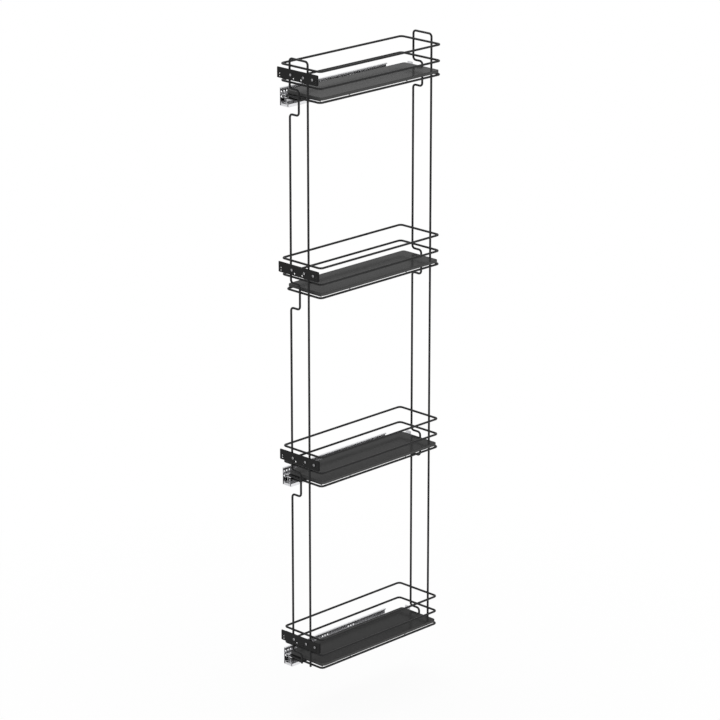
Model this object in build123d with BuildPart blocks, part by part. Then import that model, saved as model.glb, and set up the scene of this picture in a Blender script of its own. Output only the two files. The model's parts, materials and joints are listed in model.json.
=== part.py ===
from build123d import *
from math import cos, radians, sin
import os

os.makedirs("parts", exist_ok=True)

# Pull-out bottle rack for a narrow tall cabinet. Four trays hang in one bent-wire rack, which
# rolls out of the cabinet on three runners, all screwed to the left cabinet wall.
# X goes from that wall into the cabinet, Y from the door to the back, and Z goes up.
# The origin is on the wall, midway between the end screws of the bottom runner.
# All sizes are in millimetres. A tray's own heights count from its runner's upper screw row.

# Trays, from the bottom up
levels = ("bottom", "lower", "upper", "top")
runner_levels = ("bottom", "lower", "top")
tray_pitch = 537.0

# Wire rack. Wires, rollers and small holes are drawn with flats, and bends as short chords.
wire_diameter = 6.0
flats = 8
bend_chords = 3
rail_width = 148.0
rail_shortfall = 10.0
rail_wall_gap = 10.0
rail_bend = 10.0
guard_height = 45.5
guard_clearance = 24.4
base_inset = 17.0
cross_wire_diameter = 2.5
cross_wire_offsets = (-119.0, 100.0)

# Upright wires
upright_spacing = 68.0
upright_rise = 21.5
upright_bend = 9.0
jog_reach = 34.0
jog_above = 19.5
jog_below = 50.0
leg_stub = 2.1

# Tray boards
board_thickness = 8.0
board_overhang = 1.5
board_end_gap = 4.0
board_corner = 9.0

# Wall plate of each runner, bent from sheet
sheet = 1.5
plate_rise = 12.8
plate_drop = 37.7
plate_length = 404.0
runner_length = 470.0
runner_setback = 5.0
base_width = 34.5
base_lip = 9.0
top_lip = 6.0
top_hem = 3.2
wall_screw_spacing = 250.0
screw_inset = 15.0
middle_screw_offset = 21.5
wall_hole_diameter = 4.6
wall_hole_pitch = 10.0
low_row_drop = 13.4

# Rolled members of the runner, with flat races for the rollers
member_wall = 1.2
member_lip = 5.0
track_side_gap = 3.5
track_width = 25.0
lip_clearance = 0.4
middle_height = 17.5
middle_flange_width = 18.0
middle_flange = 2.0
middle_waist = 7.0
middle_setback = 6.0
drawer_setback = 3.0

# Roller cages, one below and one above each middle member
roller_diameter = 4.9
roller_race = 5.0
roller_length = 12.0
roller_count = 3
roller_spacing = 84.0
cage_start = -20.0
cage_length = 220.0
cage_width = 18.0
cage_thickness = 2.4
pocket_clearance = 0.2

# Hook at the rear of each drawer member, over the back wire of the base loop
hook_width = 20.0
hook_reach = 10.0
hook_rise = 15.9
hook_overlap = 5.0
hook_finger_width = 6.0
hook_clearance = 0.3

# Front coupling with its release lever
coupling_width = 40.0
coupling_depth = 32.0
coupling_height = 16.6
coupling_setback = 1.0
coupling_side_gap = 1.5
coupling_corner = 4.5
coupling_back_wall = 2.5
lever_thickness = 2.5
lever_gap = 0.4
lever_width = 7.0
lever_grip_width = 12.0
lever_grip_reach = 9.0
latch_width = 5.0
latch_reach = 12.0
latch_entry = 2.6
latch_slot_clearance = 0.6
latch_slot_room = 3.4
lever_pin_diameter = 4.0
lever_pin_clearance = 0.08
lever_pin_inset = 9.0
lever_pin_setback = 11.0

# Door bracket, clamped to the front uprights by a bar behind them
bracket_height = 26.0
bracket_width = 125.0
bracket_thickness = 4.0
bracket_drop = 21.3
bracket_corner = 1.5
groove_clearance = 0.02
clamp_width = 88.0
clamp_height = 16.0
clamp_thickness = 4.5
clamp_gap = 0.6
relief_width = 46.0
relief_height = 8.0

# Adjustable door plate in front of the bracket, with a slot for each of its screws and two
# windows over the bracket's relief
door_plate_width = 154.0
door_plate_height = 29.5
door_plate_thickness = 2.0
door_plate_gap = 0.1
door_plate_corner = 3.0
end_flange = 4.0
screw_offsets = (-24.0, 24.0, 58.0)
slot_height = 4.6
slot_corner = 1.3
window_diameter = 5.5
window_spacing = 29.0
window_drop = 8.5
adjust_travel = 3.0
door_hole_diameter = 4.2
door_hole_inset = 10.5
door_hole_pitch = 7.0
door_hole_drop = 5.8

# Places that follow from the sizes above
rail_left = rail_wall_gap
rail_right = rail_left + rail_width
rack_centre = rail_left + rail_width / 2
runner_front = -wall_screw_spacing / 2 - screw_inset
runner_back = runner_front + runner_length
rail_depth = runner_length - rail_shortfall
rail_front = runner_front - runner_setback
rail_back = rail_front + rail_depth
rack_middle = (rail_front + rail_back) / 2
upright_front = rail_front - wire_diameter
upright_back = rail_back + wire_diameter
jogged_leg = rack_centre - upright_spacing / 2
plain_leg = rack_centre + upright_spacing / 2

track_floor = sheet - plate_drop
low_race = track_floor + member_wall
middle_bottom = low_race + roller_race
middle_top = middle_bottom + middle_height
high_race = middle_top + roller_race
drawer_top = high_race + member_wall
runner_centre = sheet + track_side_gap + track_width / 2
drawer_side = runner_centre + track_width / 2
drawer_front = runner_front + drawer_setback

base_wire_height = drawer_top + wire_diameter / 2
cross_wire_height = base_wire_height + (wire_diameter + cross_wire_diameter) / 2
board_bottom = cross_wire_height + cross_wire_diameter / 2
board_top = board_bottom + board_thickness
guard_rail_height = board_top + guard_clearance
top_rail_height = guard_rail_height + guard_height
base_left = rail_left + base_inset

coupling_left = drawer_side + coupling_side_gap
coupling_front = rail_front + wire_diameter / 2 + coupling_setback
coupling_bottom = board_bottom - coupling_height
lever_height = high_race - roller_race / 2
pin_x = coupling_left + lever_pin_inset
pin_y = coupling_front + lever_pin_setback
latch_y = pin_y + latch_reach

bracket_middle = top_rail_height - bracket_drop
bracket_back = upright_front - clamp_gap / 2
bracket_front = bracket_back - bracket_thickness
plate_back = bracket_front - door_plate_gap
plate_front = plate_back - door_plate_thickness
clamp_front = upright_front + clamp_gap / 2


def level_height(level):
    """Height of a tray's datum, its runner's upper screw row."""
    return levels.index(level) * tray_pitch


def save(part, name):
    part.label = name
    export_step(part, f"parts/{name}.step")


def section_plane(y):
    """Plane across the rack at y, with X to the right and Z up. It faces the door."""
    return Plane(origin=(0, y, 0), x_dir=(1, 0, 0), z_dir=(0, -1, 0))


def bend_points(points, radius):
    """The given corners, each rounded to a few chords of an arc."""
    route = [Vector(*points[0])]
    for before, corner, after in zip(points, points[1:], points[2:]):
        corner = Vector(*corner)
        back = (Vector(*before) - corner).normalized()
        ahead = (Vector(*after) - corner).normalized()
        turn = 180 - back.get_angle(ahead)
        centre = corner + (back + ahead) * radius
        for i in range(bend_chords + 1):
            angle = radians(turn * i / bend_chords)
            route.append(centre - ahead * radius * cos(angle) - back * radius * sin(angle))
    return route + [Vector(*points[-1])]


def flatted_circle(diameter, mode=Mode.ADD):
    """Circle drawn with flats, one facing each axis of its sketch."""
    RegularPolygon(diameter / 2, flats, major_radius=False, rotation=180 / flats, mode=mode)


def bent_wire(points, radius):
    """Wire along straight runs with square bends."""
    with BuildPart() as wire:
        with BuildLine() as path:
            Polyline(*bend_points(points, radius))
        with BuildSketch(Plane(origin=path.line @ 0, x_dir=(0, 1, 0), z_dir=path.line % 0)):
            flatted_circle(wire_diameter)
        sweep(transition=Transition.RIGHT)
    return wire.part


def wire_loop(left, height):
    """Closed rail, made as two bent halves welded end to end."""
    middle = (left + rail_right) / 2
    corners = (
        (middle, rail_front, height),
        (rail_right, rail_front, height),
        (rail_right, rail_back, height),
        (middle, rail_back, height),
    )
    half = bent_wire(corners, rail_bend)
    with BuildPart() as loop:
        add(half)
        mirror(about=Plane.YZ.offset(middle))
    return loop.part


def upright_frame(y):
    """One wire: up the jogged leg, over the top and down the plain leg."""
    foot = drawer_top - leg_stub
    inner = jogged_leg + jog_reach
    points = [(inner, y, foot)]
    for level in levels:
        base = level_height(level)
        if level != levels[0]:
            points += [(jogged_leg, y, base - jog_below), (inner, y, base - jog_below)]
        points += [(inner, y, base + jog_above), (jogged_leg, y, base + jog_above)]
    crown = level_height(levels[-1]) + top_rail_height + upright_rise
    points += [(jogged_leg, y, crown), (plain_leg, y, crown), (plain_leg, y, foot)]
    return bent_wire(points, upright_bend)


def cross_wires():
    """Thin wires that carry the boards, across every base loop."""
    with BuildPart() as wires:
        with BuildSketch(Plane.YZ.offset(base_left)):
            for level in levels:
                for offset_y in cross_wire_offsets:
                    with Locations((rack_middle + offset_y, level_height(level) + cross_wire_height)):
                        flatted_circle(cross_wire_diameter)
        extrude(amount=rail_right - base_left)
    return wires.part


def tray_board(level):
    left = base_left - board_overhang
    right = rail_right + board_overhang
    with BuildPart() as board:
        with BuildSketch(Plane.XY.offset(level_height(level) + board_bottom)):
            with Locations(((left + right) / 2, rack_middle)):
                RectangleRounded(right - left, rail_depth - 2 * board_end_gap, board_corner)
        extrude(amount=board_thickness)
    return board.part


def wall_plate(level):
    """Bent sheet on the wall: a lipped plate above, and a tray for the track below."""
    datum = level_height(level)
    top = datum + plate_rise
    low = datum - plate_drop
    half_spacing = wall_screw_spacing / 2
    low_row = datum - low_row_drop
    spare_holes = [middle_screw_offset]
    for centre in (-half_spacing, middle_screw_offset, half_spacing):
        spare_holes += [centre - wall_hole_pitch, centre + wall_hole_pitch]
    with BuildPart() as plate:
        with BuildSketch(section_plane(runner_front)):
            with BuildLine():
                Polyline(
                    (top_lip, top - top_hem),
                    (top_lip, top),
                    (0, top),
                    (0, low),
                    (base_width, low),
                    (base_width, low + base_lip),
                    (base_width - sheet, low + base_lip),
                    (base_width - sheet, low + sheet),
                    (sheet, low + sheet),
                    (sheet, top - sheet),
                    (top_lip - sheet, top - sheet),
                    (top_lip - sheet, top - top_hem),
                    close=True,
                )
            make_face()
        extrude(amount=-runner_length)
        with BuildSketch(Plane.YZ):
            with Locations((runner_front + plate_length, low + base_lip)):
                Rectangle(runner_length, plate_rise + plate_drop, align=Align.MIN)
        extrude(amount=top_lip, mode=Mode.SUBTRACT)
        with BuildSketch(Plane.YZ):
            with Locations((-half_spacing, datum), (half_spacing, datum)):
                Circle(wall_hole_diameter / 2)
            with Locations(*[(y, datum) for y in spare_holes]):
                flatted_circle(wall_hole_diameter)
            with Locations((-half_spacing, low_row), (-half_spacing - wall_hole_pitch, low_row)):
                flatted_circle(wall_hole_diameter)
        extrude(amount=sheet, mode=Mode.SUBTRACT)
    return plate.part


def lipped_channel(level, floor, way, front):
    """Rolled channel with inward lips. It opens upwards (way = 1) or downwards (way = -1)."""
    datum = level_height(level)
    depth = member_wall + roller_race + middle_flange + lip_clearance + member_wall
    inner_depth = depth - 2 * member_wall
    with BuildPart() as channel:
        with BuildSketch(section_plane(front)):
            with Locations((runner_centre, datum + floor + way * depth / 2)):
                Rectangle(track_width, depth)
                Rectangle(track_width - 2 * member_wall, inner_depth, mode=Mode.SUBTRACT)
            with Locations((runner_centre, datum + floor + way * (depth - member_wall / 2))):
                Rectangle(track_width - 2 * member_lip, member_wall, mode=Mode.SUBTRACT)
        extrude(amount=-(runner_back - front))
    return channel.part


def middle_member(level):
    """Rolled profile that runs on the lower rollers and carries the upper ones."""
    middle = level_height(level) + (middle_bottom + middle_top) / 2
    with BuildPart() as member:
        with BuildSketch(section_plane(runner_front + middle_setback)):
            with Locations((runner_centre, middle)):
                Rectangle(middle_flange_width, middle_height)
                hollow = middle_height - 2 * middle_flange
                Rectangle(middle_waist - 2 * member_wall, hollow, mode=Mode.SUBTRACT)
                side = (middle_flange_width - middle_waist) / 2
                with GridLocations(middle_flange_width - side, 0, 2, 1):
                    Rectangle(side, hollow, mode=Mode.SUBTRACT)
        extrude(amount=-(runner_length - 2 * middle_setback))
    return member.part


def roller_cage(level, race):
    """Flat strip that keeps the rollers apart. race is the height of the rollers' axes."""
    middle = (runner_centre, cage_start + cage_length / 2)
    pocket = roller_diameter + 2 * pocket_clearance
    with BuildPart() as cage:
        with BuildSketch(Plane.XY.offset(level_height(level) + race - cage_thickness / 2)):
            with Locations(middle):
                Rectangle(cage_width, cage_length)
                with GridLocations(0, roller_spacing, 1, roller_count):
                    Rectangle(roller_length + 2 * pocket_clearance, pocket, mode=Mode.SUBTRACT)
        extrude(amount=cage_thickness)
    return cage.part


def rollers(level, race):
    height = level_height(level) + race
    with BuildPart() as group:
        with BuildSketch(Plane.YZ.offset(runner_centre - roller_length / 2)):
            with Locations((cage_start + cage_length / 2, height)):
                with GridLocations(roller_spacing, 0, roller_count, 1):
                    flatted_circle(roller_diameter)
        extrude(amount=roller_length)
    return group.part


def drawer_member(level):
    """Top channel of the runner, with the rear hook and the slot for the latch."""
    datum = level_height(level)
    finger_height = base_wire_height + wire_diameter / 2 + hook_clearance
    finger_length = runner_back - rail_back - wire_diameter / 2 + hook_overlap
    latch_slot_height = lever_thickness + 2 * latch_slot_clearance
    latch_slot_width = latch_width + latch_slot_clearance + latch_slot_room
    with BuildPart() as member:
        add(lipped_channel(level, drawer_top, -1, drawer_front))
        with BuildSketch(Plane.XY.offset(datum + drawer_top - member_wall)):
            with Locations((drawer_side + hook_reach, runner_back)):
                Rectangle(hook_width, sheet, align=Align.MAX)
        extrude(amount=member_wall + hook_rise)
        with BuildSketch(Plane.XY.offset(datum + finger_height)):
            with Locations((drawer_side + hook_reach, runner_back)):
                Rectangle(hook_finger_width, finger_length, align=Align.MAX)
        extrude(amount=sheet)
        with BuildSketch(Plane.YZ.offset(runner_centre)):
            with Locations((latch_y - latch_width / 2 - latch_slot_clearance, datum + lever_height)):
                Rectangle(latch_slot_width, latch_slot_height, align=(Align.MIN, Align.CENTER))
        extrude(amount=track_width, mode=Mode.SUBTRACT)
    return member.part


def front_coupling(level):
    """Moulded housing under the board's front left corner. Its slot leaves the lever's pin."""
    datum = level_height(level)
    slot = lever_thickness + 2 * lever_gap
    with BuildPart() as housing:
        with BuildSketch(Plane.XY.offset(datum + coupling_bottom)):
            with Locations((coupling_left, coupling_front)):
                Rectangle(coupling_width, coupling_depth, align=Align.MIN)
        extrude(amount=coupling_height)
        chamfer(housing.edges().filter_by(Axis.Z), coupling_corner)
        with BuildSketch(Plane.XY.offset(datum + lever_height - slot / 2)):
            with Locations((coupling_left, coupling_front - coupling_back_wall)):
                Rectangle(coupling_width, coupling_depth, align=Align.MIN)
            with Locations((pin_x, pin_y)):
                Circle(lever_pin_diameter / 2, mode=Mode.SUBTRACT)
        extrude(amount=slot, mode=Mode.SUBTRACT)
    return housing.part


def release_lever(level):
    """Flat lever on the pin: a grip in front of the housing and a latch at the back."""
    grip_y = coupling_front - lever_grip_reach
    latch_x = drawer_side - latch_entry
    latch_length = pin_x + lever_width / 2 - latch_x
    with BuildPart() as lever:
        with BuildSketch(Plane.XY.offset(level_height(level) + lever_height - lever_thickness / 2)):
            with Locations((pin_x, grip_y)):
                Rectangle(lever_width, latch_y - grip_y, align=(Align.CENTER, Align.MIN))
                Rectangle(lever_grip_width, lever_grip_reach / 2, align=(Align.CENTER, Align.MIN))
            with Locations((latch_x, latch_y)):
                Rectangle(latch_length, latch_width, align=(Align.MIN, Align.CENTER))
            with Locations((pin_x, pin_y)):
                Circle(lever_pin_diameter / 2 + lever_pin_clearance, mode=Mode.SUBTRACT)
        extrude(amount=lever_thickness)
    return lever.part


def bracket_level(level):
    """Height of the middle of a door bracket."""
    return level_height(level) + bracket_middle


def upright_grooves():
    with Locations((jogged_leg, upright_front), (plain_leg, upright_front)):
        flatted_circle(wire_diameter + 2 * groove_clearance, Mode.SUBTRACT)


def door_bracket(level):
    """Cast bar in front of the uprights, grooved for them and relieved below."""
    middle = bracket_level(level)
    with BuildPart() as bracket:
        with BuildSketch(Plane.XY.offset(middle - bracket_height / 2)):
            with Locations((rack_centre, bracket_back)):
                Rectangle(bracket_width, bracket_thickness, align=(Align.CENTER, Align.MAX))
            upright_grooves()
        extrude(amount=bracket_height)
        ends = bracket.edges().filter_by(Axis.Y).group_by(Axis.X)
        chamfer(ends[0] + ends[-1], bracket_corner)
        with BuildSketch(section_plane(bracket_back)):
            with Locations((rack_centre, middle - bracket_height / 2)):
                Rectangle(relief_width, relief_height, align=(Align.CENTER, Align.MIN))
        extrude(amount=bracket_thickness, mode=Mode.SUBTRACT)
    return bracket.part


def bracket_clamps():
    """Grooved bars behind the uprights, one to a bracket."""
    with BuildPart() as clamps:
        for level in levels:
            with BuildSketch(Plane.XY.offset(bracket_level(level) - clamp_height / 2)):
                with Locations((rack_centre, clamp_front)):
                    Rectangle(clamp_width, clamp_thickness, align=(Align.CENTER, Align.MIN))
                upright_grooves()
            extrude(amount=clamp_height)
    return clamps.part


def door_plate(level):
    """Flanged sheet that the cabinet door is screwed to. Its slots let it shift sideways."""
    middle = bracket_level(level)
    hole_spread = door_plate_width - 2 * door_hole_inset
    slot_length = slot_height + 2 * adjust_travel
    with BuildPart() as plate:
        with BuildSketch(Plane.XY.offset(middle - door_plate_height / 2)):
            with Locations((rack_centre, plate_front)):
                Rectangle(door_plate_width, end_flange, align=(Align.CENTER, Align.MIN))
            with Locations((rack_centre, plate_back)):
                inside = door_plate_width - 2 * door_plate_thickness
                Rectangle(inside, end_flange, align=(Align.CENTER, Align.MIN), mode=Mode.SUBTRACT)
        extrude(amount=door_plate_height)
        with BuildSketch(section_plane(plate_front + end_flange)) as outline:
            with Locations((rack_centre, middle)):
                Rectangle(door_plate_width, door_plate_height)
            chamfer(outline.vertices(), door_plate_corner)
            with Locations((rack_centre, middle - window_drop)):
                with GridLocations(window_spacing, 0, 2, 1):
                    flatted_circle(window_diameter, Mode.SUBTRACT)
            with Locations((rack_centre, middle - door_hole_drop)):
                with GridLocations(hole_spread, door_hole_pitch, 2, 2):
                    Circle(door_hole_diameter / 2, mode=Mode.SUBTRACT)
        extrude(amount=end_flange, mode=Mode.INTERSECT)
        with BuildSketch(section_plane(plate_back)) as slots:
            with Locations(*[(rack_centre + offset, middle) for offset in screw_offsets]):
                Rectangle(slot_length, slot_height)
            chamfer(slots.vertices(), slot_corner)
        extrude(amount=door_plate_thickness, mode=Mode.SUBTRACT)
    return plate.part


for level in levels:
    datum = level_height(level)
    save(wire_loop(rail_left, datum + top_rail_height), f"top_rail_{level}")
    save(wire_loop(rail_left, datum + guard_rail_height), f"guard_rail_{level}")
    save(wire_loop(base_left, datum + base_wire_height), f"base_loop_{level}")
    save(tray_board(level), f"tray_board_{level}")
save(upright_frame(upright_front), "front_uprights")
save(upright_frame(upright_back), "rear_uprights")
save(cross_wires(), "cross_wires")
for level in runner_levels:
    save(wall_plate(level), f"wall_plate_{level}")
    save(lipped_channel(level, track_floor, 1, runner_front), f"track_{level}")
    save(middle_member(level), f"middle_member_{level}")
    save(drawer_member(level), f"drawer_member_{level}")
    for place, race in (("lower", low_race), ("upper", middle_top)):
        save(roller_cage(level, race + roller_race / 2), f"{place}_cage_{level}")
        save(rollers(level, race + roller_race / 2), f"{place}_rollers_{level}")
    save(front_coupling(level), f"front_coupling_{level}")
    save(release_lever(level), f"release_lever_{level}")
for level in levels:
    save(door_bracket(level), f"door_bracket_{level}")
    save(door_plate(level), f"door_plate_{level}")
save(bracket_clamps(), "bracket_clamps")
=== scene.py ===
import json
from math import cos, pi, radians, sin
from types import SimpleNamespace

import bmesh
import bpy
from mathutils import Matrix, Vector


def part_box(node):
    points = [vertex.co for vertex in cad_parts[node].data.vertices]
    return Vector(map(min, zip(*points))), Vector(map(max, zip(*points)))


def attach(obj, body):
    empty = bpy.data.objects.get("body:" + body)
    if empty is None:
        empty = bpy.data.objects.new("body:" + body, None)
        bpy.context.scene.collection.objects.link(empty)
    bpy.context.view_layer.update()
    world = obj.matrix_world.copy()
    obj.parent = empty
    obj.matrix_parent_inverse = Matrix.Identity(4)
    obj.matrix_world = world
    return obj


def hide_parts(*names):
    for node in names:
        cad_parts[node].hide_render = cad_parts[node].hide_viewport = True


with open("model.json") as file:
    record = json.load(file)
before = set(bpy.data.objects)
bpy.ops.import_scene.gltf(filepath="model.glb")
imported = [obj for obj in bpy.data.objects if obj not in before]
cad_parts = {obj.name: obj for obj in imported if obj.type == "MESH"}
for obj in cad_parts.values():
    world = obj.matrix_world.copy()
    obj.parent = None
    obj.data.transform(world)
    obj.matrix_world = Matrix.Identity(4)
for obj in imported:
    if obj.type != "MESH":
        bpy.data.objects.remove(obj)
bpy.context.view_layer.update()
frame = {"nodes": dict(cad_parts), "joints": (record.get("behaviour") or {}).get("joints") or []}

# Sizes are in millimetres, in the frame of the CAD model: X from the cabinet wall, Y from the door
# to the back, Z up. Most come from the boxes of the CAD nodes. Pieces that repeat are made once, at
# the bottom tray, and copied up to the others.
MM = 0.001
LEVELS = ("bottom", "lower", "upper", "top")
RUNNER_LEVELS = ("bottom", "lower", "top")

# Fineness of round forms, angles in degrees
ROUND_SIDES = 32
GROOVE_SIDES = 40
WIRE_SIDES = 20
THIN_WIRE_SIDES = 16
BEND_STEPS = 8
CORNER_STEPS = 6
SLAB_CORNER_STEPS = 8
SLAB_EDGE_STEPS = 3
EDGE_SEGMENTS = 2
SOFTENED_ANGLE = 40
SMOOTH_ANGLE = 32

# How far a cutting tool runs past the piece, and how near two points are merged
OVERRUN = 1.5
MERGE_REACH = 0.002


def measured(node):
    """Lowest and highest corner of a CAD node."""
    low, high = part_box(node)
    return low / MM, high / MM


TRAY_PITCH = measured("tray_board_lower")[0].z - measured("tray_board_bottom")[0].z

# Wires
WIRE_RADIUS = 3.0
RAIL_BEND = 10.0
UPRIGHT_BEND = 9.0
JOG_REACH = 34.0
JOG_ABOVE = 19.5
JOG_BELOW = 50.0
WIRE_END = 0.6
WIRE_END_ANGLES = (pi / 2, pi / 3, pi / 6, 0)
CROSS_WIRE_SPACING = 219.0

# Boards
BOARD_CORNER = 9.0
BOARD_TOP_EDGE = 1.2
BOARD_LOW_EDGE = 0.3

# Sheet and rolled pieces of the runner
SHEET = 1.5
SHEET_BEND = 2.0
SHEET_INNER_BEND = 0.5
CUT_EDGE = 0.2
PLATE_LENGTH = 404.0
PLATE_NOTCH = 4.0
BASE_LIP = 9.0
TOP_LIP = 6.0
TOP_HEM = 3.2
HOLE_RADIUS = 2.3
HOLE_PITCH = 10.0
FIRST_HOLE = 15.0
UPPER_GROUPS = (FIRST_HOLE, 161.5, 265.0)
LOW_ROW = 13.4
MEMBER_WALL = 1.2
MEMBER_LIP = 5.0
MEMBER_BEND = 1.7
MIDDLE_FLANGE = 2.0
MIDDLE_WAIST = 7.0
MIDDLE_EDGE = 0.6
CHANNEL_DEPTH = 9.8
ROLLER_COUNT = 3
ROLLER_SPACING = 84.0
STOP_DEPTH = 4.5
STOP_CLEARANCE = 0.4
HOOK_WIDTH = 20.0
HOOK_CORNER = 3.0
FINGER_WIDTH = 6.0
FINGER_LENGTH = 17.0
FINGER_CLEARANCE = 0.3

# Front coupling and release lever
COUPLING_CORNER = 4.5
COUPLING_EDGE = 0.8
COUPLING_BACK_WALL = 2.5
LEVER_GAP = 0.4
LEVER_WIDTH = 7.0
LEVER_CORNER = 1.6
GRIP_DEPTH = 4.5
LATCH_WIDTH = 5.0
LATCH_CLEARANCE = 0.6
LATCH_SLOT_LENGTH = 8.4
LATCH_SLOT_DEPTH = 5.0
LATCH_SLOT_CORNER = 1.0
PIN_RADIUS = 2.0
PIN_CLEARANCE = 0.08

# Door side
GROOVE_CLEARANCE = 0.02
BRACKET_EDGE = 0.5
BRACKET_CORNER = 1.5
RELIEF_WIDTH = 46.0
RELIEF_HEIGHT = 8.0
RELIEF_CORNER = 2.5
CLAMP_HEIGHT = 16.0
PLATE_THICKNESS = 2.0
PLATE_BEND = 2.6
PLATE_CORNER = 4.0
SCREW_OFFSETS = (-24.0, 24.0, 58.0)
SLOT_WIDTH = 10.6
SLOT_HEIGHT = 4.6
WINDOW_SPACING = 29.0
WINDOW_RADIUS = 2.75
WINDOW_DROP = 8.5
DOOR_HOLE_RADIUS = 2.1
DOOR_HOLE_INSET = 10.5
DOOR_HOLE_PITCH = 7.0
DOOR_HOLE_DROP = 5.8
SCREW_HEAD = 3.7
SCREW_HEIGHT = 2.5
SCREW_SHANK = 1.95
SCREW_CLEARANCE = 0.05
SCREW_END = 1.5
RECESS_REACH = 0.55 * SCREW_HEAD
RECESS_HALF_WIDTH = 0.13 * SCREW_HEAD

# Dome of a screw's head: share of the head's radius, and drop below the crown
SCREW_DOME = ((0.45, 0.0), (0.75, 0.3), (0.95, 1.0), (1.0, 1.8))

# Half sizes of a weld nugget
WELD = (3.1, 1.3, 3.1)


# Mesh tools. A draft is a mesh object in millimetres.


def draft_of(mesh):
    draft = bpy.data.objects.new("draft", mesh)
    bpy.context.scene.collection.objects.link(draft)
    return draft


def solid(vertices, faces):
    """Draft from points and faces, with its faces turned outwards."""
    mesh = bpy.data.meshes.new("draft")
    mesh.from_pydata([tuple(v) for v in vertices], [], faces)
    bm = bmesh.new()
    bm.from_mesh(mesh)
    bmesh.ops.recalc_face_normals(bm, faces=bm.faces)
    bm.to_mesh(mesh)
    bm.free()
    return draft_of(mesh)


def bake(draft):
    """Applies the modifiers of a draft to its mesh."""
    bpy.context.view_layer.update()
    evaluated = draft.evaluated_get(bpy.context.evaluated_depsgraph_get())
    mesh = bpy.data.meshes.new_from_object(evaluated)
    draft.modifiers.clear()
    draft.data = mesh
    return draft


def joined(drafts):
    """One draft from several, as separate shells."""
    bm = bmesh.new()
    for draft in drafts:
        bm.from_mesh(draft.data)
        bpy.data.objects.remove(draft)
    mesh = bpy.data.meshes.new("draft")
    bm.to_mesh(mesh)
    bm.free()
    return draft_of(mesh)


def combine(draft, tools, operation="DIFFERENCE"):
    """Cuts, adds or intersects a draft with tools that don't touch each other."""
    tool = joined(tools)
    modifier = draft.modifiers.new("combine", "BOOLEAN")
    modifier.operation = operation
    modifier.solver = "EXACT"
    modifier.object = tool
    bake(draft)
    bpy.data.objects.remove(tool)
    return draft


def soften(draft, width):
    """Rounds the sharp edges."""
    modifier = draft.modifiers.new("soften", "BEVEL")
    modifier.width = width
    modifier.segments = EDGE_SEGMENTS
    modifier.limit_method = "ANGLE"
    modifier.angle_limit = radians(SOFTENED_ANGLE)
    return bake(draft)


def rounded(points, radii, steps=CORNER_STEPS):
    """Closed outline with its corners rounded. radii is one number, or one for each corner."""
    if not hasattr(radii, "__len__"):
        radii = [radii] * len(points)
    outline = []
    for i, radius in enumerate(radii):
        corner = Vector(points[i])
        if radius == 0:
            outline.append(tuple(corner))
            continue
        back = (Vector(points[i - 1]) - corner).normalized()
        ahead = (Vector(points[(i + 1) % len(points)]) - corner).normalized()
        half = back.angle(ahead) / 2
        centre = corner + (back + ahead).normalized() * radius / sin(half)
        arm = corner + back * radius * cos(half) / sin(half) - centre
        way = 1 if back.y * ahead.x > back.x * ahead.y else -1
        for k in range(steps + 1):
            angle = way * (pi - 2 * half) * k / steps
            outline.append((
                centre.x + arm.x * cos(angle) - arm.y * sin(angle),
                centre.y + arm.x * sin(angle) + arm.y * cos(angle),
            ))
    return outline


def rectangle(a0, b0, a1, b1):
    return [(a0, b0), (a1, b0), (a1, b1), (a0, b1)]


def circle(centre, radius, sides=ROUND_SIDES):
    turns = [2 * pi * i / sides for i in range(sides)]
    return [(centre[0] + radius * cos(t), centre[1] + radius * sin(t)) for t in turns]


def placed(axis, point, depth):
    """Place of an outline's point. The outline lies square to the axis, at the depth."""
    a, b = point
    return {"X": (depth, a, b), "Y": (a, depth, b), "Z": (a, b, depth)}[axis]


def skin(rings, closed=False):
    """Draft over rings of equal count, with flat ends unless it is closed."""
    count = len(rings[0])
    faces = []
    for r in range(len(rings) if closed else len(rings) - 1):
        low = r * count
        high = (r + 1) % len(rings) * count
        for i in range(count):
            j = (i + 1) % count
            faces.append((low + i, low + j, high + j, high + i))
    if not closed:
        last = (len(rings) - 1) * count
        faces += [list(range(count)), list(range(last, last + count))]
    return solid([point for ring in rings for point in ring], faces)


def prism(outline, axis, start, end):
    return skin([[placed(axis, p, depth) for p in outline] for depth in (start, end)])


def turned(profile, axis, centre):
    """Turned piece. The profile is (radius, place along the axis), from one end to the other."""
    return skin([
        [placed(axis, p, place) for p in circle(centre, radius)] for radius, place in profile
    ])


def slab(low, high, corner, edge_low, edge_high):
    """Flat block with rounded corners, and rounded edges below and above."""
    rings = []
    for edge, height, way in ((edge_low, low.z, 1), (edge_high, high.z, -1)):
        quarter = []
        for k in range(SLAB_EDGE_STEPS + 1):
            angle = pi / 2 * k / SLAB_EDGE_STEPS
            inset = edge * (1 - sin(angle))
            shape = rounded(
                rectangle(low.x + inset, low.y + inset, high.x - inset, high.y - inset),
                corner - inset,
                SLAB_CORNER_STEPS,
            )
            quarter.append([(x, y, height + way * edge * (1 - cos(angle))) for x, y in shape])
        rings += quarter[::way]
    return skin(rings)


def bent_path(corners, radius, closed):
    """Places and directions along straight runs with arcs between them."""
    path = []
    last = len(corners) - 1
    for i, point in enumerate(corners):
        corner = Vector(point)
        if not closed and i in (0, last):
            way = Vector(corners[1]) - corner if i == 0 else corner - Vector(corners[i - 1])
            path.append((corner, way.normalized()))
            continue
        back = (Vector(corners[i - 1]) - corner).normalized()
        ahead = (Vector(corners[(i + 1) % len(corners)]) - corner).normalized()
        centre = corner + (back + ahead) * radius
        for k in range(BEND_STEPS + 1):
            angle = pi / 2 * k / BEND_STEPS
            place = centre - (ahead * cos(angle) + back * sin(angle)) * radius
            path.append((place, (ahead * sin(angle) - back * cos(angle)).normalized()))
    return path


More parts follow.
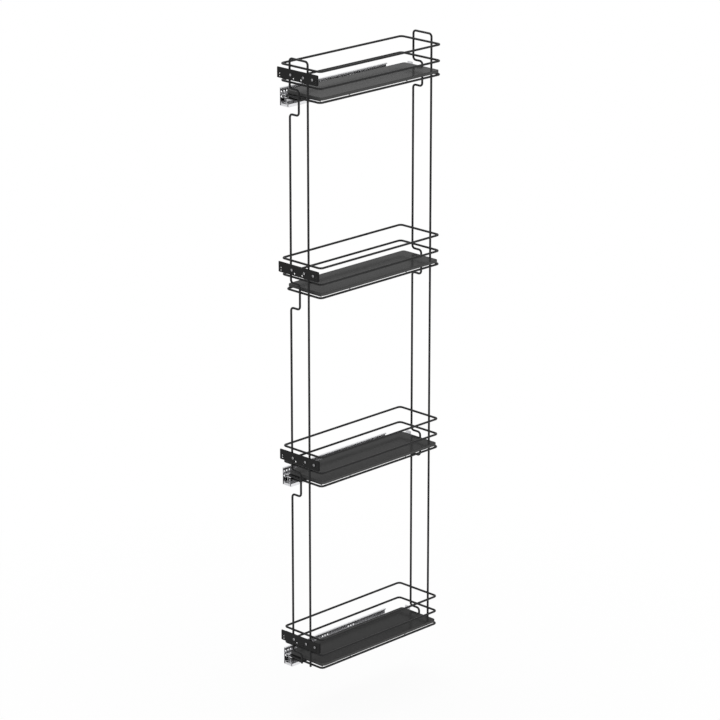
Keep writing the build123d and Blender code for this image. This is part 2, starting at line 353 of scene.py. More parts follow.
def tube(path, normal, radius, closed, sides=WIRE_SIDES):
    """Round wire along a flat path. normal is square to the path's plane."""
    stations = [(place, way, radius) for place, way in path]
    if not closed:
        ends = []
        for place, way, inwards in ((*path[0], 1), (*path[-1], -1)):
            ends.append([
                (
                    place + way * inwards * WIRE_END * (1 - sin(angle)),
                    way,
                    radius - WIRE_END * (1 - cos(angle)),
                )
                for angle in WIRE_END_ANGLES
            ])
        stations = ends[0] + stations[1:-1] + ends[1][::-1]
    normal = Vector(normal)
    rings = []
    for place, way, size in stations:
        side = way.cross(normal)
        turns = [2 * pi * i / sides for i in range(sides)]
        rings.append([place + (normal * cos(t) + side * sin(t)) * size for t in turns])
    return skin(rings, closed)


def merged(mesh):
    """Copy of a mesh, without the points that cuts and bevels left on one place."""
    bm = bmesh.new()
    bm.from_mesh(mesh)
    bmesh.ops.remove_doubles(bm, verts=bm.verts, dist=MERGE_REACH)
    copy = bpy.data.meshes.new("piece")
    bm.to_mesh(copy)
    bm.free()
    return copy


def install(draft, name, body, material, nodes=(), height=0.0):
    """Copy of a draft as a finished piece, in metres, that rides on a body."""
    mesh = merged(draft.data)
    mesh.transform(Matrix.Scale(MM, 4) @ Matrix.Translation((0, 0, height)))
    mesh.materials.clear()
    mesh.materials.append(material)
    mesh.shade_smooth()
    mesh.set_sharp_from_angle(angle=radians(SMOOTH_ANGLE))
    piece = bpy.data.objects.new(name, mesh)
    bpy.context.scene.collection.objects.link(piece)
    modifier = piece.modifiers.new("flats", "WEIGHTED_NORMAL")
    modifier.keep_sharp = True
    bake(piece)
    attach(piece, body)
    if nodes:
        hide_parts(*nodes)


def install_once(draft, name, body, material, nodes=()):
    """A piece that the object has only once."""
    install(draft, name, body, material, nodes)
    bpy.data.objects.remove(draft)


def install_at(levels, draft, name, body, material, replaces=True):
    """A piece at each tray. Braces in the names of the piece and the body stand for the level."""
    for level in levels:
        piece = name.format(level)
        nodes = [piece.rsplit(".", 1)[0]] if replaces else []
        height = LEVELS.index(level) * TRAY_PITCH
        install(draft, piece, body.format(level), material, nodes, height)
    bpy.data.objects.remove(draft)


# Materials


# Reach of a noise's values that counts, and of a normal's height from upright to flat
NOISE_REACH = (0.3, 0.7)
FLATNESS_REACH = (0.3, 0.8)


class Finish:
    """Principled material whose colour, roughness and bump come from procedural nodes."""

    def __init__(self, name, **values):
        self.material = bpy.data.materials.new(name)
        self.material.use_nodes = True
        self.tree = self.material.node_tree
        self.surface = self.tree.nodes["Principled BSDF"]
        for socket, value in values.items():
            self.surface.inputs[socket.replace("_", " ")].default_value = value
        self.place = self.tree.nodes.new("ShaderNodeTexCoord").outputs["Object"]

    def link(self, source, target):
        self.tree.links.new(source, target)

    def noise(self, scale, detail=3.0, stretch=None):
        node = self.tree.nodes.new("ShaderNodeTexNoise")
        node.inputs["Scale"].default_value = scale
        node.inputs["Detail"].default_value = detail
        place = self.place
        if stretch:
            mapping = self.tree.nodes.new("ShaderNodeMapping")
            mapping.inputs["Scale"].default_value = stretch
            self.link(place, mapping.inputs["Vector"])
            place = mapping.outputs["Vector"]
        self.link(place, node.inputs["Vector"])
        return node.outputs["Fac"]

    def cells(self, scale):
        node = self.tree.nodes.new("ShaderNodeTexVoronoi")
        node.inputs["Scale"].default_value = scale
        self.link(self.place, node.inputs["Vector"])
        level = self.tree.nodes.new("ShaderNodeRGBToBW")
        self.link(node.outputs["Color"], level.inputs["Color"])
        return level.outputs["Val"]

    def blend(self, first, second, share):
        node = self.tree.nodes.new("ShaderNodeMix")
        node.inputs["Factor"].default_value = share
        self.link(first, node.inputs["A"])
        self.link(second, node.inputs["B"])
        return node.outputs["Result"]

    def mapped(self, source, reach, values):
        """The reach of a source turned into the reach between two values."""
        node = self.tree.nodes.new("ShaderNodeMapRange")
        sockets = ("From Min", "From Max", "To Min", "To Max")
        for socket, value in zip(sockets, (*reach, *values)):
            node.inputs[socket].default_value = value
        self.link(source, node.inputs["Value"])
        return node.outputs["Result"]

    def uprightness(self):
        """One on faces that stand upright, and zero on flat ones."""
        normal = self.tree.nodes.new("ShaderNodeTexCoord").outputs["Normal"]
        split = self.tree.nodes.new("ShaderNodeSeparateXYZ")
        self.link(normal, split.inputs["Vector"])
        height = self.tree.nodes.new("ShaderNodeMath")
        height.operation = "ABSOLUTE"
        self.link(split.outputs["Z"], height.inputs[0])
        return self.mapped(height.outputs["Value"], FLATNESS_REACH, (1.0, 0.0))

    def colour(self, source, dark, light, reach=NOISE_REACH):
        ramp = self.tree.nodes.new("ShaderNodeValToRGB")
        for element, position, value in zip(ramp.color_ramp.elements, reach, (dark, light)):
            element.position = position
            element.color = (*value, 1)
        self.link(source, ramp.inputs["Fac"])
        self.link(ramp.outputs["Color"], self.surface.inputs["Base Color"])

    def roughness(self, source, low, high):
        self.link(self.mapped(source, NOISE_REACH, (low, high)), self.surface.inputs["Roughness"])

    def bump(self, source, strength, distance):
        node = self.tree.nodes.new("ShaderNodeBump")
        node.inputs["Strength"].default_value = strength
        node.inputs["Distance"].default_value = distance
        self.link(source, node.inputs["Height"])
        self.link(node.outputs["Normal"], self.surface.inputs["Normal"])


def grey(value, blue=1.0):
    return (value, value, value * blue)


def powder_coat(name, dark, light, shine, smoothest=0.4, roughest=0.5):
    """Fine textured black paint."""
    finish = Finish(name, Specular_IOR_Level=shine)
    patches = finish.noise(scale=30, detail=4)
    finish.colour(patches, grey(dark), grey(light, blue=1.05))
    finish.roughness(patches, smoothest, roughest)
    finish.bump(finish.noise(scale=1100, detail=2), strength=0.2, distance=0.0001)
    return finish.material


def laminate(name):
    """Board with a dark face, and painted light on its upright sides, which are coloured lighter than
    the top.
    """
    finish = Finish(name, Specular_IOR_Level=0.018)
    patches = finish.noise(scale=9, detail=5)
    grain = finish.noise(scale=800, detail=3)
    face = finish.blend(patches, grain, share=0.3)
    # Painted light: faces that stand upright are pushed towards the light end of the colour, to lift
    # the shade on the board's sides
    face_with_painted_side_light = finish.blend(face, finish.uprightness(), share=0.9)
    finish.colour(face_with_painted_side_light, dark=grey(0.037), light=grey(0.1), reach=(0.0, 1.0))
    finish.roughness(patches, low=0.16, high=0.22)
    finish.bump(grain, strength=0.04, distance=0.00004)
    return finish.material


def zinc(name, dark, light, smoothest, roughest, streaks):
    """Bare or zinc-plated metal with fine spangle, and streaks along its length."""
    finish = Finish(name, Metallic=1.0)
    spangle = finish.blend(finish.cells(scale=210), finish.noise(scale=420, detail=4), share=0.6)
    drawn = finish.noise(scale=160, detail=4, stretch=(1, 0.04, 1))
    mixed = finish.blend(spangle, drawn, share=streaks)
    finish.colour(mixed, grey(dark, blue=1.02), grey(light, blue=1.02))
    finish.roughness(mixed, smoothest, roughest)
    finish.bump(finish.noise(scale=1300, detail=2), strength=0.05, distance=0.00003)
    return finish.material


def moulding(name, dark, light):
    """Moulded plastic."""
    finish = Finish(name, Specular_IOR_Level=0.35)
    patches = finish.noise(scale=60, detail=3)
    finish.colour(patches, grey(dark), grey(light))
    finish.roughness(patches, low=0.4, high=0.52)
    finish.bump(finish.noise(scale=2400, detail=2), strength=0.15, distance=0.00005)
    return finish.material


WIRE = powder_coat("wire_coat_finish", dark=0.024, light=0.03, shine=0.13)
BRACKET = powder_coat("bracket_coat_finish", dark=0.005, light=0.009, shine=0.15)
BOARD = laminate("board_finish")
ZINC = zinc(
    "zinc_sheet_finish", dark=0.76, light=0.82, smoothest=0.19, roughest=0.23, streaks=0.15
)
ROLLED = zinc(
    "rolled_zinc_finish", dark=0.6, light=0.72, smoothest=0.34, roughest=0.42, streaks=0.6
)
STEEL = zinc(
    "roller_steel_finish", dark=0.5, light=0.6, smoothest=0.16, roughest=0.26, streaks=0.1
)
DARK_STEEL = zinc(
    "door_screw_finish", dark=0.3, light=0.42, smoothest=0.26, roughest=0.36, streaks=0.1
)
CAGE = moulding("cage_plastic_finish", dark=0.08, light=0.11)
COUPLING = moulding("coupling_plastic_finish", dark=0.006, light=0.01)


# Camera, placed in metres


CAMERA_PLACE = (6.3115, -6.2164, 3.7432)
CAMERA_AZIMUTH = radians(44.69)
CAMERA_TILT = radians(18.22)
CAMERA_LENS = 169.03
SENSOR_WIDTH = 36.0


def make_camera():
    lens = bpy.data.cameras.new("camera")
    lens.lens = CAMERA_LENS
    lens.sensor_width = SENSOR_WIDTH
    camera = bpy.data.objects.new("camera", lens)
    bpy.context.scene.collection.objects.link(camera)
    camera.location = CAMERA_PLACE
    ahead = Vector((
        -sin(CAMERA_AZIMUTH) * cos(CAMERA_TILT),
        cos(CAMERA_AZIMUTH) * cos(CAMERA_TILT),
        -sin(CAMERA_TILT),
    ))
    camera.rotation_euler = ahead.to_track_quat("-Z", "Y").to_euler()
    bpy.context.scene.camera = camera


# Rack


def make_loops():
    """Rails and base loops, each one bent wire."""
    for kind in ("top_rail", "guard_rail", "base_loop"):
        low, high = measured(f"{kind}_bottom")
        middle = (low.z + high.z) / 2
        outline = rectangle(
            low.x + WIRE_RADIUS, low.y + WIRE_RADIUS, high.x - WIRE_RADIUS, high.y - WIRE_RADIUS
        )
        path = bent_path([(x, y, middle) for x, y in outline], RAIL_BEND, True)
        draft = tube(path, (0, 0, 1), WIRE_RADIUS, True)
        install_at(LEVELS, draft, kind + "_{}.wire", "rack", WIRE)


def upright_places(side):
    """X of the jogged leg, its inner runs and the plain leg, Y of the wire, Z of foot and crown."""
    low, high = measured(f"{side}_uprights")
    jogged = low.x + WIRE_RADIUS
    return SimpleNamespace(
        jogged=jogged,
        inner=jogged + JOG_REACH,
        plain=high.x - WIRE_RADIUS,
        y=(low.y + high.y) / 2,
        foot=low.z,
        crown=high.z - WIRE_RADIUS,
    )


def make_uprights():
    """One wire at the front and one at the rear. Its jogged leg steps inwards at each tray."""
    for side in ("front", "rear"):
        leg = upright_places(side)
        bends = [(leg.inner, leg.foot)]
        for i in range(len(LEVELS)):
            datum = i * TRAY_PITCH
            if i:
                bends += [(leg.jogged, datum - JOG_BELOW), (leg.inner, datum - JOG_BELOW)]
            bends += [(leg.inner, datum + JOG_ABOVE), (leg.jogged, datum + JOG_ABOVE)]
        bends += [(leg.jogged, leg.crown), (leg.plain, leg.crown), (leg.plain, leg.foot)]
        path = bent_path([(x, leg.y, z) for x, z in bends], UPRIGHT_BEND, False)
        draft = tube(path, (0, 1, 0), WIRE_RADIUS, False)
        node = f"{side}_uprights"
        install_once(draft, f"{node}.wire", "rack", WIRE, [node])


def make_cross_wires():
    """Two thin wires under each board."""
    low, high = measured("cross_wires")
    top = measured("tray_board_bottom")[0].z
    radius = (top - low.z) / 2
    drafts = []
    for i in range(len(LEVELS)):
        height = low.z + radius + i * TRAY_PITCH
        for y in (low.y + radius, low.y + radius + CROSS_WIRE_SPACING):
            path = bent_path([(low.x, y, height), (high.x, y, height)], 0, False)
            drafts.append(tube(path, (0, 0, 1), radius, False, THIN_WIRE_SIDES))
    install_once(joined(drafts), "cross_wires.wire", "rack", WIRE, ["cross_wires"])


def make_front_rests():
    """Thin wire under each board's front edge, from where the coupling ends to the right side."""
    wire_low, wire_high = measured("cross_wires")
    board = measured("tray_board_bottom")[0]
    coupling = measured("front_coupling_bottom")[1]
    radius = (board.z - wire_low.z) / 2
    y = board.y + radius
    height = wire_low.z + radius
    ends = [(coupling.x, y, height), (wire_high.x - WIRE_RADIUS, y, height)]
    draft = tube(bent_path(ends, 0, False), (0, 0, 1), radius, False, THIN_WIRE_SIDES)
    install_at(LEVELS, draft, "front_rest_{}", "rack", WIRE, False)


def make_welds():
    """Small nuggets where the uprights cross the rails and the base loops."""
    drafts = []
    nugget = bmesh.new()
    bmesh.ops.create_icosphere(nugget, subdivisions=2, radius=1)
    bmesh.ops.scale(nugget, vec=WELD, verts=nugget.verts)
    nugget_mesh = bpy.data.meshes.new("nugget")
    nugget.to_mesh(nugget_mesh)
    nugget.free()
    for side, inwards in (("front", 1), ("rear", -1)):
        leg = upright_places(side)
        y = leg.y + inwards * WIRE_RADIUS
        for kind, legs in (
            ("top_rail", (leg.jogged, leg.plain)),
            ("guard_rail", (leg.jogged, leg.plain)),
            ("base_loop", (leg.inner, leg.plain)),
        ):
            low, high = measured(f"{kind}_bottom")
            for i in range(len(LEVELS)):
                height = (low.z + high.z) / 2 + i * TRAY_PITCH
                for x in legs:
                    mesh = nugget_mesh.copy()
                    mesh.transform(Matrix.Translation((x, y, height)))
                    drafts.append(draft_of(mesh))
    install_once(joined(drafts), "weld_nuggets", "rack", WIRE)


def make_boards():
    low, high = measured("tray_board_bottom")
    draft = slab(low, high, BOARD_CORNER, BOARD_LOW_EDGE, BOARD_TOP_EDGE)
    install_at(LEVELS, draft, "tray_board_{}.board", "rack", BOARD)


# Runners


def sheet_bends(outer):
    """Bend radii of a sheet's profile: four outer corners, four inner ones, and the cut ends."""
    return [CUT_EDGE] + 4 * [outer] + 2 * [CUT_EDGE] + 4 * [SHEET_INNER_BEND] + [CUT_EDGE]


def make_wall_plates():
    """Folded plates with a lip above, a base with an upturned edge, and rows of screw holes."""
    low, high = measured("wall_plate_bottom")
    profile = [
        (TOP_LIP, high.z - TOP_HEM),
        (TOP_LIP, high.z),
        (0, high.z),
        (0, low.z),
        (high.x, low.z),
        (high.x, low.z + BASE_LIP),
        (high.x - SHEET, low.z + BASE_LIP),
        (high.x - SHEET, low.z + SHEET),
        (SHEET, low.z + SHEET),
        (SHEET, high.z - SHEET),
        (TOP_LIP - SHEET, high.z - SHEET),
        (TOP_LIP - SHEET, high.z - TOP_HEM),
    ]
    draft = prism(rounded(profile, sheet_bends(SHEET_BEND)), "Y", low.y, high.y)
    notch = rectangle(
        low.y + PLATE_LENGTH, low.z + BASE_LIP, high.y + OVERRUN, high.z + OVERRUN
    )
    tools = [prism(rounded(notch, (PLATE_NOTCH, 0, 0, 0)), "X", -OVERRUN, TOP_LIP + OVERRUN)]
    holes = [
        (low.y + group + shift, 0)
        for group in UPPER_GROUPS
        for shift in (-HOLE_PITCH, 0, HOLE_PITCH)
    ]
    holes += [(low.y + FIRST_HOLE + shift, -LOW_ROW) for shift in (-HOLE_PITCH, 0)]
    tools += [prism(circle(hole, HOLE_RADIUS), "X", -OVERRUN, SHEET + OVERRUN) for hole in holes]
    combine(draft, tools)
    install_at(RUNNER_LEVELS, draft, "wall_plate_{}.sheet", "cabinet_side", ZINC)


def lipped_channel(x0, x1, floor, way):
    """Profile of a rolled channel that opens upwards (way = 1) or downwards (way = -1)."""
    rim = floor + way * CHANNEL_DEPTH
    inner_rim = rim - way * MEMBER_WALL
    inner_floor = floor + way * MEMBER_WALL
    profile = [
        (x0 + MEMBER_LIP, rim),
        (x0, rim),
        (x0, floor),
        (x1, floor),
        (x1, rim),
        (x1 - MEMBER_LIP, rim),
        (x1 - MEMBER_LIP, inner_rim),
        (x1 - MEMBER_WALL, inner_rim),
        (x1 - MEMBER_WALL, inner_floor),
        (x0 + MEMBER_WALL, inner_floor),
        (x0 + MEMBER_WALL, inner_rim),
        (x0 + MEMBER_LIP, inner_rim),
    ]
    return rounded(profile, sheet_bends(MEMBER_BEND))


def make_tracks():
    low, high = measured("track_bottom")
    draft = prism(lipped_channel(low.x, high.x, low.z, 1), "Y", low.y, high.y)
    install_at(RUNNER_LEVELS, draft, "track_{}.rolled", "cabinet_side", ROLLED)


def make_cage_stops():
    """Small stop at the front of each track, under the middle member, that keeps the cage in."""
    low, high = measured("track_bottom")
    floor = low.z + MEMBER_WALL
    roof = measured("middle_member_bottom")[0].z - STOP_CLEARANCE
    stop = rectangle(low.x + MEMBER_WALL, floor, high.x - MEMBER_WALL, roof)
    draft = prism(rounded(stop, SHEET_INNER_BEND), "Y", low.y, low.y + STOP_DEPTH)
    install_at(RUNNER_LEVELS, draft, "cage_stop_{}", "cabinet_side", ROLLED, False)


def make_middle_members():
    """Two flanges on a hollow waist."""
    low, high = measured("middle_member_bottom")
    centre = (low.x + high.x) / 2
    waist = MIDDLE_WAIST / 2
    floor = low.z + MIDDLE_FLANGE
    roof = high.z - MIDDLE_FLANGE
    profile = [
        (low.x, low.z),
        (high.x, low.z),
        (high.x, floor),
        (centre + waist, floor),
        (centre + waist, roof),
        (high.x, roof),
        (high.x, high.z),
        (low.x, high.z),
        (low.x, roof),
        (centre - waist, roof),
        (centre - waist, floor),
        (low.x, floor),
    ]
    draft = prism(rounded(profile, MIDDLE_EDGE), "Y", low.y, high.y)
    inner = waist - MEMBER_WALL
    hollow = rounded(rectangle(centre - inner, floor, centre + inner, roof), MIDDLE_EDGE)
    combine(draft, [prism(hollow, "Y", low.y - OVERRUN, high.y + OVERRUN)])
    install_at(
        RUNNER_LEVELS,
        draft,
        "middle_member_{}.rolled",
        "middle_member_{}",
        ROLLED,
    )


def make_drawer_members():
    """Top channel with its rear hook and the slot for the latch."""
    low, high = measured("drawer_member_bottom")
    side = measured("track_bottom")[1].x
    wire_low, wire_high = measured("base_loop_bottom")
    lever_low, lever_high = measured("release_lever_bottom")
    top = wire_low.z
    draft = prism(lipped_channel(low.x, side, top, -1), "Y", low.y, high.y)
    tab = rounded(
        rectangle(high.x - HOOK_WIDTH, top - MEMBER_WALL, high.x, high.z),
        (CUT_EDGE, CUT_EDGE, HOOK_CORNER, HOOK_CORNER),
    )
    combine(draft, [prism(tab, "Y", high.y - SHEET, high.y)], "UNION")
    finger_low = wire_high.z + FINGER_CLEARANCE
    finger = rounded(
        rectangle(high.y - FINGER_LENGTH, finger_low, high.y - SHEET / 2, finger_low + SHEET),
        (SHEET / 2 - CUT_EDGE, CUT_EDGE, CUT_EDGE, SHEET / 2 - CUT_EDGE),
    )
    combine(draft, [prism(finger, "X", high.x - FINGER_WIDTH, high.x)], "UNION")
    latch = lever_high.y - LATCH_WIDTH
    slot = rectangle(
        latch - LATCH_CLEARANCE,
        lever_low.z - LATCH_CLEARANCE,
        latch + LATCH_SLOT_LENGTH,
        lever_high.z + LATCH_CLEARANCE,
    )
    slot = rounded(slot, LATCH_SLOT_CORNER)
    combine(draft, [prism(slot, "X", side - LATCH_SLOT_DEPTH, high.x)])
    install_at(RUNNER_LEVELS, draft, "drawer_member_{}.rolled", "rack", ROLLED)


def make_rollers():
    """Turned rollers, and the finish of their cages."""
    for place in ("lower", "upper"):
        low, high = measured(f"{place}_rollers_bottom")
        radius = (high.z - low.z) / 2
        height = (high.z + low.z) / 2
        edge = 2 * CUT_EDGE
        profile = [
            (radius - edge, low.x),
            (radius, low.x + edge),
            (radius, high.x - edge),
            (radius - edge, high.x),
        ]
        centres = [low.y + radius + i * ROLLER_SPACING for i in range(ROLLER_COUNT)]
        draft = joined([turned(profile, "X", (y, height)) for y in centres])
        body = place + "_cage_{}"
        install_at(RUNNER_LEVELS, draft, place + "_rollers_{}.turned", body, STEEL)
        for level in RUNNER_LEVELS:
            cage = frame["nodes"][f"{place}_cage_{level}"]
            for slot in cage.material_slots:
                slot.material = CAGE


# Front coupling


def lever_pin():
    """X and Y of the pin that the release lever turns on."""
    joint = next(j for j in frame["joints"] if j["name"] == "release_lever_bottom_pivot")
    pin = Vector(joint["pos_m"]) / MM
    return pin.x, pin.y


def make_couplings():
    """Blocks with a slot for the lever, which goes round the lever's pin."""
    low, high = measured("front_coupling_bottom")
    lever_low, lever_high = measured("release_lever_bottom")
    draft = slab(low, high, COUPLING_CORNER, COUPLING_EDGE, COUPLING_EDGE)
    mouth = rectangle(
        low.x - OVERRUN, low.y - OVERRUN, high.x + OVERRUN, high.y - COUPLING_BACK_WALL
    )
    slot = prism(mouth, "Z", lever_low.z - LEVER_GAP, lever_high.z + LEVER_GAP)
    pin = prism(circle(lever_pin(), PIN_RADIUS), "Z", low.z, high.z)
    combine(slot, [pin])
    combine(draft, [slot])
    install_at(
        RUNNER_LEVELS, draft, "front_coupling_{}.moulding", "rack", COUPLING
    )


def make_levers():
    """Flat levers with a wide grip in front, and behind a latch that points to the runner."""
    low, high = measured("release_lever_bottom")
    pin_x, pin_y = lever_pin()
    half = LEVER_WIDTH / 2
    shoulder = low.y + GRIP_DEPTH
    outline = [
        (high.x, low.y),
        (high.x, shoulder),
        (pin_x + half, shoulder),
        (pin_x + half, high.y),
        (low.x, high.y),
        (low.x, high.y - LATCH_WIDTH),
        (pin_x - half, high.y - LATCH_WIDTH),
        (pin_x - half, shoulder),
        (2 * pin_x - high.x, shoulder),
        (2 * pin_x - high.x, low.y),
    ]
    draft = prism(rounded(outline, LEVER_CORNER), "Z", low.z, high.z)
    bore = circle((pin_x, pin_y), PIN_RADIUS + PIN_CLEARANCE)
    combine(draft, [prism(bore, "Z", low.z - OVERRUN, high.z + OVERRUN)])
    soften(draft, 2 * CUT_EDGE)
    install_at(
        RUNNER_LEVELS,
        draft,
        "release_lever_{}.moulding",
        "release_lever_{}",
        COUPLING,
    )


# Door side


def upright_grooves(low_z, high_z):
    """Tools that cut the grooves which the front uprights lie in."""
    leg = upright_places("front")
    radius = WIRE_RADIUS + GROOVE_CLEARANCE
    return [
        prism(circle((x, leg.y), radius, GROOVE_SIDES), "Z", low_z - OVERRUN, high_z + OVERRUN)
        for x in (leg.jogged, leg.plain)
    ]


def make_door_brackets():
    """Bars with two grooves behind and a relief below."""
    low, high = measured("door_bracket_bottom")
    centre = (low.x + high.x) / 2
    bar = rounded(rectangle(low.x, low.y, high.x, high.y), BRACKET_CORNER)
    draft = prism(bar, "Z", low.z, high.z)
    half = RELIEF_WIDTH / 2
    relief = rounded(
        rectangle(centre - half, low.z - RELIEF_CORNER, centre + half, low.z + RELIEF_HEIGHT),
        (0, 0, RELIEF_CORNER, RELIEF_CORNER),
    )
    tools = upright_grooves(low.z, high.z)
    tools.append(prism(relief, "Y", low.y - OVERRUN, high.y + OVERRUN))
    combine(draft, tools)
    soften(draft, BRACKET_EDGE)
    install_at(LEVELS, draft, "door_bracket_{}.casting", "rack", BRACKET)


def make_clamps():
    """Bars that hold the uprights in the grooves of the brackets."""
    low, high = measured("bracket_clamps")
    top = low.z + CLAMP_HEIGHT
    drafts = []
    for i in range(len(LEVELS)):
        draft = prism(rectangle(low.x, low.y, high.x, high.y), "Z", low.z, top)
        combine(draft, upright_grooves(low.z, top))
        soften(draft, BRACKET_EDGE)
        draft.data.transform(Matrix.Translation((0, 0, i * TRAY_PITCH)))
        drafts.append(draft)
    node = "bracket_clamps"
    install_once(joined(drafts), f"{node}.castings", "rack", BRACKET, [node])


def make_door_plates():
    """Folded plates with a slot to each screw, two round windows, and two holes at each end."""
    low, high = measured("door_plate_bottom")
    centre = (low.x + high.x) / 2
    middle = (low.z + high.z) / 2
    profile = [
        (low.x, high.y),
        (low.x, low.y),
        (high.x, low.y),
        (high.x, high.y),
        (high.x - PLATE_THICKNESS, high.y),
        (high.x - PLATE_THICKNESS, low.y + PLATE_THICKNESS),
        (low.x + PLATE_THICKNESS, low.y + PLATE_THICKNESS),
        (low.x + PLATE_THICKNESS, high.y),
    ]
    cut_end = [CUT_EDGE]
    bends = cut_end + 2 * [PLATE_BEND] + 2 * cut_end + 2 * [SHEET_INNER_BEND] + cut_end
    draft = prism(rounded(profile, bends), "Z", low.z, high.z)
    face = rounded(rectangle(low.x, low.z, high.x, high.z), PLATE_CORNER)
    combine(draft, [prism(face, "Y", low.y - OVERRUN, high.y + OVERRUN)], "INTERSECT")
    outlines = []
    for offset in SCREW_OFFSETS:
        x = centre + offset
        slot = rectangle(
            x - SLOT_WIDTH / 2, middle - SLOT_HEIGHT / 2, x + SLOT_WIDTH / 2, middle + SLOT_HEIGHT / 2
        )
        outlines.append(rounded(slot, SLOT_HEIGHT / 2 - CUT_EDGE))
    for side in (-1, 1):
        window = (centre + side * WINDOW_SPACING / 2, middle - WINDOW_DROP)
        outlines.append(circle(window, WINDOW_RADIUS))
        hole_x = centre + side * ((high.x - low.x) / 2 - DOOR_HOLE_INSET)
        for half in (-DOOR_HOLE_PITCH / 2, DOOR_HOLE_PITCH / 2):
            outlines.append(circle((hole_x, middle - DOOR_HOLE_DROP + half), DOOR_HOLE_RADIUS))
    reach = low.y + PLATE_THICKNESS + OVERRUN
    combine(draft, [prism(outline, "Y", low.y - OVERRUN, reach) for outline in outlines])
    install_at(LEVELS, draft, "door_plate_{}.sheet", "door_plate_{}", BRACKET)


def cross_recess(x, z):
    """Outline of a screw's cross recess, one corner of it and its three quarter turns."""
    arm, half = RECESS_REACH, RECESS_HALF_WIDTH
    corner = [(-arm, -half), (-half, -half), (-half, -arm)]
    outline = []
    for _ in range(4):
        outline += [(x + a, z + b) for a, b in corner]
        corner = [(-b, a) for a, b in corner]
    return outline


def make_door_screws():
    """Pan-head screws with a cross recess, through the slots into the bracket."""
    low, high = measured("door_plate_bottom")
    clamp_low, clamp_high = measured("bracket_clamps")
    bracket_back = measured("door_bracket_bottom")[1].y
    centre = (low.x + high.x) / 2
    middle = (low.z + high.z) / 2
    seat = low.y - SCREW_CLEARANCE
    crown = seat - SCREW_HEIGHT
    drafts = []
    for offset in SCREW_OFFSETS:
        x = centre + offset
        in_clamp = clamp_low.x < x < clamp_high.x
        end = clamp_high.y + SCREW_END if in_clamp else bracket_back - SCREW_END
        profile = [(SCREW_HEAD * share, crown + drop) for share, drop in SCREW_DOME]
        profile += [
            (SCREW_HEAD, seat),
            (SCREW_SHANK, seat),
            (SCREW_SHANK, end - 2 * CUT_EDGE),
            (SCREW_SHANK - 2 * CUT_EDGE, end),
        ]
        screw = turned(profile, "Y", (x, middle))
        recess = prism(cross_recess(x, middle), "Y", crown - OVERRUN, crown + SCREW_HEIGHT / 2)
        combine(screw, [recess])
        drafts.append(screw)
    install_at(
        LEVELS, joined(drafts), "door_screws_{}", "rack", DARK_STEEL, False
    )


# Floor and light, in metres


FLOOR_HEIGHT = -0.16
FLOOR_SIZE = 60.0
FLOOR_TONE = 0.95
FLOOR_ROUGHNESS = 0.9

# The floor shows white. Within the reach, a little of the lit floor shows the shadow too. The
# share is the part of white at the middle.
SHADOW_REACH = 1.6
SHADOW_SHARE = 0.94

SKY_STRENGTH = 0.5
MIDDLE = (0.08, 0.09, 0.85)
KEY_PLACE = (-1.8, 0.4, 4.6)
KEY_SIZE = 2.2
KEY_WATTS = 70
FILL_PLACE = (4.4, -0.6, 3.0)
FILL_SIZE = 2.6
FILL_WATTS = 35


def white_to_the_eye(tree, lit, target, share):
    """Shows white to the camera and in reflections, and the lit shader to all other rays.
    share is the part of white, as a number or as the output of a node."""
    path = tree.nodes.new("ShaderNodeLightPath")
    seen = path.outputs["Is Camera Ray"]
    for other in ("Is Glossy Ray", "Is Transmission Ray"):
        either = tree.nodes.new("ShaderNodeMath")
        either.operation = "MAXIMUM"
        tree.links.new(seen, either.inputs[0])
        tree.links.new(path.outputs[other], either.inputs[1])
        seen = either.outputs["Value"]
    part = tree.nodes.new("ShaderNodeMath")
    part.operation = "MULTIPLY"
    tree.links.new(seen, part.inputs[0])
    if isinstance(share, float):
        part.inputs[1].default_value = share
    else:
        tree.links.new(share, part.inputs[1])
    white = tree.nodes.new("ShaderNodeEmission")
    white.inputs["Color"].default_value = (1, 1, 1, 1)
    mix = tree.nodes.new("ShaderNodeMixShader")
    tree.links.new(part.outputs["Value"], mix.inputs["Fac"])
    tree.links.new(lit, mix.inputs[1])
    tree.links.new(white.outputs["Emission"], mix.inputs[2])
    tree.links.new(mix.outputs["Shader"], target)


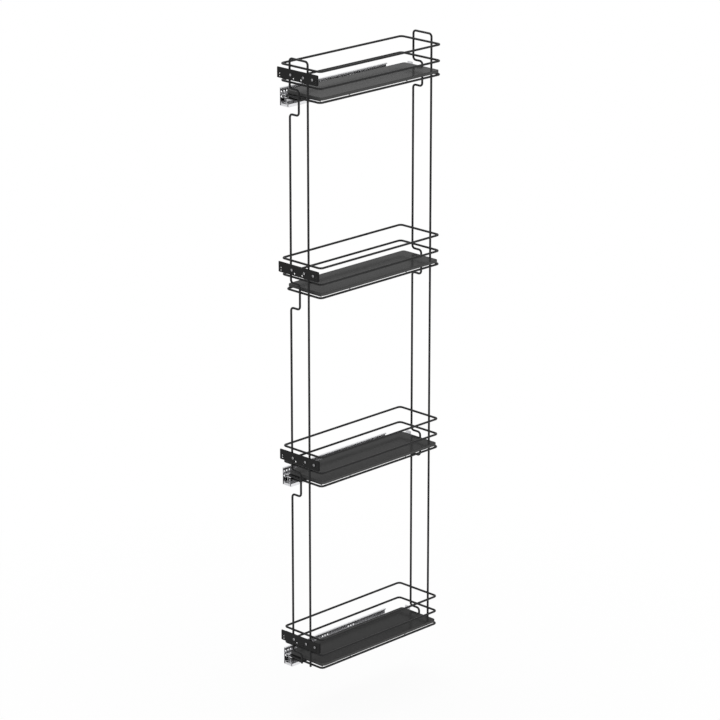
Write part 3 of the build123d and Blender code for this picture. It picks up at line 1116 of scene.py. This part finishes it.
def make_floor():
    half = FLOOR_SIZE / 2
    corners = [(x, y, FLOOR_HEIGHT) for x, y in rectangle(-half, -half, half, half)]
    floor = solid(corners, [(0, 1, 2, 3)])
    floor.name = "floor"
    material = bpy.data.materials.new("floor_finish")
    material.use_nodes = True
    nodes = material.node_tree.nodes
    matt = nodes["Principled BSDF"]
    matt.inputs["Base Color"].default_value = (*grey(FLOOR_TONE), 1)
    matt.inputs["Roughness"].default_value = FLOOR_ROUGHNESS
    matt.inputs["Specular IOR Level"].default_value = 0.0
    place = nodes.new("ShaderNodeTexCoord")
    mapping = nodes.new("ShaderNodeMapping")
    mapping.inputs["Scale"].default_value = (1 / SHADOW_REACH, 1 / SHADOW_REACH, 0)
    fade = nodes.new("ShaderNodeTexGradient")
    fade.gradient_type = "SPHERICAL"
    share = nodes.new("ShaderNodeMapRange")
    for socket, value in (("To Min", 1.0), ("To Max", SHADOW_SHARE)):
        share.inputs[socket].default_value = value
    links = material.node_tree.links
    links.new(place.outputs["Object"], mapping.inputs["Vector"])
    links.new(mapping.outputs["Vector"], fade.inputs["Vector"])
    links.new(fade.outputs["Fac"], share.inputs["Value"])
    target = nodes["Material Output"].inputs["Surface"]
    white_to_the_eye(material.node_tree, matt.outputs["BSDF"], target, share.outputs["Result"])
    floor.data.materials.append(material)


def make_world():
    world = bpy.data.worlds.new("studio")
    world.use_nodes = True
    bpy.context.scene.world = world
    nodes = world.node_tree.nodes
    sky = nodes["Background"]
    sky.inputs["Color"].default_value = (1, 1, 1, 1)
    sky.inputs["Strength"].default_value = SKY_STRENGTH
    target = nodes["World Output"].inputs["Surface"]
    white_to_the_eye(world.node_tree, sky.outputs["Background"], target, 1.0)


def lamp(name, place, size, watts):
    """Square soft lamp aimed at the middle of the rack."""
    light = bpy.data.lights.new(name, "AREA")
    light.size = size
    light.energy = watts
    holder = bpy.data.objects.new(name, light)
    bpy.context.scene.collection.objects.link(holder)
    holder.location = place
    holder.rotation_euler = (Vector(MIDDLE) - Vector(place)).to_track_quat("-Z", "Y").to_euler()


make_camera()
make_loops()
make_uprights()
make_cross_wires()
make_front_rests()
make_welds()
make_boards()
make_wall_plates()
make_tracks()
make_cage_stops()
make_middle_members()
make_drawer_members()
make_rollers()
make_couplings()
make_levers()
make_door_brackets()
make_clamps()
make_door_plates()
make_door_screws()
make_floor()
make_world()
lamp("key", KEY_PLACE, KEY_SIZE, KEY_WATTS)
lamp("fill", FILL_PLACE, FILL_SIZE, FILL_WATTS)

bpy.context.scene.view_settings.view_transform = "Standard"
